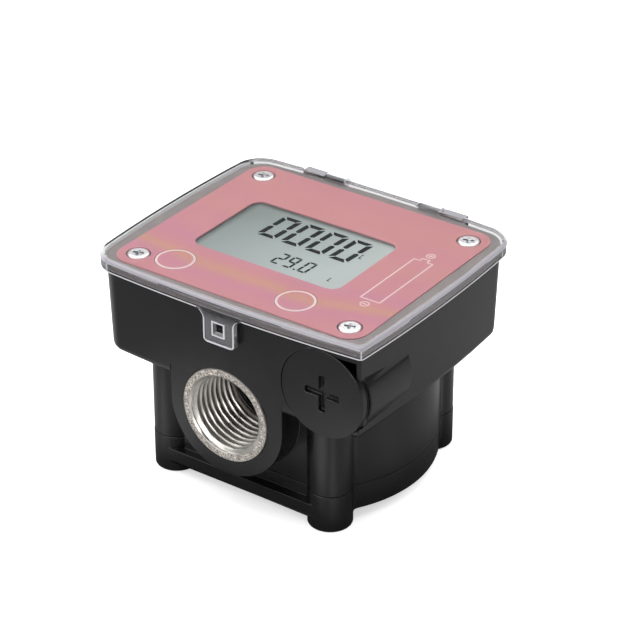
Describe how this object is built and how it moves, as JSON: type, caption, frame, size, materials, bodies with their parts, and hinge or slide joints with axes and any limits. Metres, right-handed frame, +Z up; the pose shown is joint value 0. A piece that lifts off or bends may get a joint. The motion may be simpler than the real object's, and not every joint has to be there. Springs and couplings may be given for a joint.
{
  "type": "oval gear flow meter",
  "caption": "Small digital flow meter with two oval gears in a black moulded housing, threaded in-line ports, hinged clear lid, display, keys, battery cap and feet.",
  "frame": {"origin": "under the middle of the meter, in the plane on which its four feet stand", "axes": "+Z up, -Y towards the front with the inlet port and the latch, +Y towards the outlet port and the hinge, +X to the battery side"},
  "size_m": [0.0806, 0.0709, 0.0582],
  "materials": {
    "black_moulding": "semi-gloss moulded",
    "face_black": "fine texture",
    "seal_rubber": "matt",
    "steel": "bright",
    "port_metal": "turned",
    "gear_plastic": "natural acetal",
    "magnet": "sintered",
    "sensor_glass": "clear green",
    "clear_lid": "clear moulded polycarbonate",
    "red_film": "printed film",
    "display_glass": "polariser",
    "display_back": "grey green reflector",
    "strip_rubber": "silicone",
    "board_green": "solder mask",
    "chip_black": "moulded epoxy",
    "cell_sleeve": "shrink sleeve"
  },
  "bodies": {
    "housing": {"meter_body": "black_moulding", "bottom_cover": "black_moulding", "cover_seal": "seal_rubber", "cover_screws": "steel", "inlet_insert": "port_metal", "outlet_insert": "port_metal", "left_gear_shaft": "steel", "right_gear_shaft": "steel", "reed_switch": "sensor_glass", "hinge_pins": "steel", "face_plate": "face_black", "face_gasket": "seal_rubber", "face_label": "red_film", "face_screws": "steel", "lcd_glass": "display_glass", "lcd_reflector": "display_back", "contact_strips": "strip_rubber", "circuit_board": "board_green", "board_screws": "steel", "controller_chip": "chip_black", "timing_crystal": "steel", "reset_switch": "chip_black", "cal_switch": "chip_black", "battery_cell": "cell_sleeve", "mouth_contact": "steel", "rear_contact": "steel"},
    "left_gear": {"left_oval_gear": "gear_plastic"},
    "right_gear": {"right_oval_gear": "gear_plastic", "gear_magnets": "magnet"},
    "lid": {"lid": "clear_lid"},
    "reset_button": {"reset_key": "red_film", "reset_plunger": "gear_plastic"},
    "cal_button": {"cal_key": "red_film", "cal_plunger": "gear_plastic"},
    "cap_ring": {"cap_seal": "seal_rubber"},
    "cap": {"battery_cap": "black_moulding", "cap_contact": "steel", "cap_spring": "steel"}
  },
  "joints": [
    {"name": "left_gear_turn", "type": "hinge", "parent": "housing", "child": "left_gear", "pos_m": [-0.0125, 0, 0.0099], "axis": [0, 0, 1], "continuous": true},
    {"name": "right_gear_turn", "type": "hinge", "parent": "housing", "child": "right_gear", "pos_m": [0.0125, 0, 0.0099], "axis": [0, 0, 1], "continuous": true},
    {"name": "lid_hinge", "type": "hinge", "parent": "housing", "child": "lid", "pos_m": [0, 0.0342, 0.0566], "axis": [-1, 0, 0], "range_deg": [0, 110]},
    {"name": "reset_press", "type": "slide", "parent": "housing", "child": "reset_button", "axis": [0, 0, -1], "range_m": [0, 0.0004], "stiffness_N_per_m": 500, "springref_m": -0.0002},
    {"name": "cal_press", "type": "slide", "parent": "housing", "child": "cal_button", "axis": [0, 0, -1], "range_m": [0, 0.0004], "stiffness_N_per_m": 500, "springref_m": -0.0002},
    {"name": "cap_out", "type": "slide", "parent": "housing", "child": "cap_ring", "axis": [0, -1, 0], "range_m": [0, 0.006]},
    {"name": "cap_turn", "type": "hinge", "parent": "cap_ring", "child": "cap", "pos_m": [0.0275, -0.032, 0.0418], "axis": [0, -1, 0], "range_deg": [0, 1080]}
  ],
  "couplings": [
    {"joint": "right_gear_turn", "follows": "left_gear_turn", "ratio": -1},
    {"joint": "cap_out", "follows": "cap_turn", "m_per_rad": 0.000318}
  ]
}
